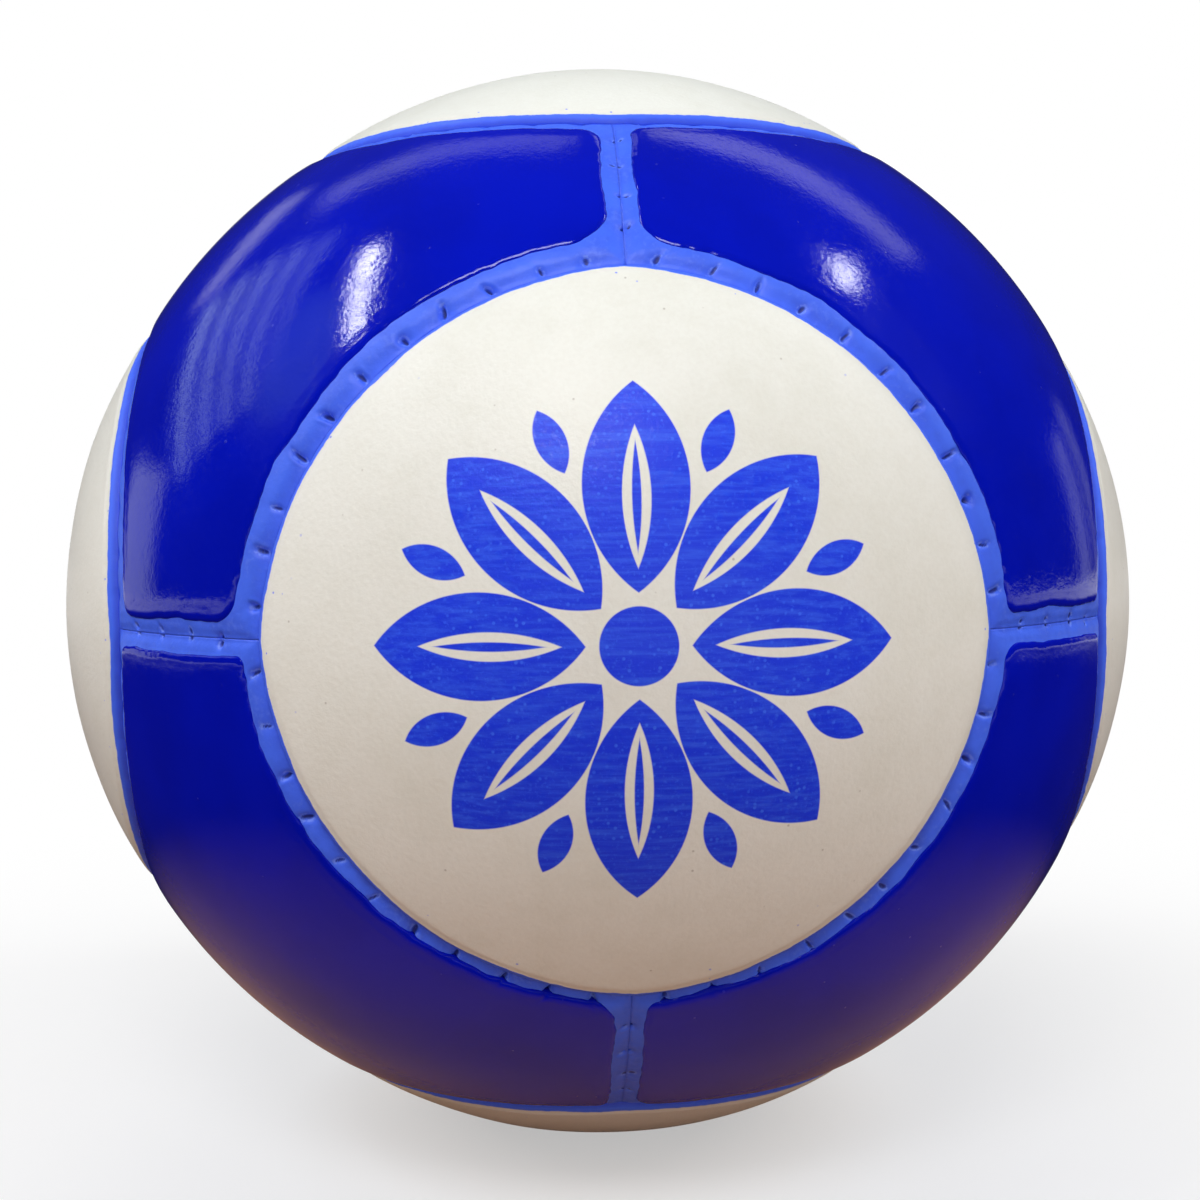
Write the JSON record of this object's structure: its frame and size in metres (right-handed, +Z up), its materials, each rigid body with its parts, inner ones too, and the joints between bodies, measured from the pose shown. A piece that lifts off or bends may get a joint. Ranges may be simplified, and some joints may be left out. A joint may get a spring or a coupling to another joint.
{
  "type": "handball",
  "caption": "Sewn handball of round white and three-armed glossy blue panels over a padded lining, with bladder and needle valve.",
  "frame": {"origin": "middle of the ball", "axes": "+Z up through the middle of the top white panel, -Y out of the white panel that faces the viewer, +Y out of the white panel at the back, which holds the valve"},
  "size_m": [0.175, 0.1749, 0.175],
  "materials": {
    "white_cover": "matt grained synthetic leather, warm white",
    "blue_cover": "matt light blue synthetic leather",
    "gloss_film": "glossy dark blue film",
    "lining": "layered cotton cloth and foam",
    "thread": "waxed polyester thread",
    "bladder": "butyl rubber",
    "valve": "moulded rubber",
    "valve_plug": "soft silicone-like rubber",
    "patch": "woven cotton tape"
  },
  "bodies": {
    "root": {"white_cover_front": "white_cover", "white_cover_back": "white_cover", "white_cover_left": "white_cover", "white_cover_right": "white_cover", "white_cover_top": "white_cover", "white_cover_bottom": "white_cover", "blue_cover_front_top_left": "blue_cover", "blue_cover_front_top_right": "blue_cover", "blue_cover_front_bottom_left": "blue_cover", "blue_cover_front_bottom_right": "blue_cover", "blue_cover_back_top_left": "blue_cover", "blue_cover_back_top_right": "blue_cover", "blue_cover_back_bottom_left": "blue_cover", "blue_cover_back_bottom_right": "blue_cover", "gloss_film_front_top_left": "gloss_film", "gloss_film_front_top_right": "gloss_film", "gloss_film_front_bottom_left": "gloss_film", "gloss_film_front_bottom_right": "gloss_film", "gloss_film_back_top_left": "gloss_film", "gloss_film_back_top_right": "gloss_film", "gloss_film_back_bottom_left": "gloss_film", "gloss_film_back_bottom_right": "gloss_film", "white_lining_front": "lining", "white_lining_back": "lining", "white_lining_left": "lining", "white_lining_right": "lining", "white_lining_top": "lining", "white_lining_bottom": "lining", "blue_lining_front_top_left": "lining", "blue_lining_front_top_right": "lining", "blue_lining_front_bottom_left": "lining", "blue_lining_front_bottom_right": "lining", "blue_lining_back_top_left": "lining", "blue_lining_back_top_right": "lining", "blue_lining_back_bottom_left": "lining", "blue_lining_back_bottom_right": "lining", "ring_thread_front": "thread", "ring_thread_back": "thread", "ring_thread_left": "thread", "ring_thread_right": "thread", "ring_thread_top": "thread", "ring_thread_bottom": "thread", "short_thread_level": "thread", "short_thread_middle": "thread", "short_thread_across": "thread", "bladder": "bladder", "valve_housing": "valve", "valve_plug": "valve_plug", "valve_patch": "patch"}
  },
  "joints": []
}
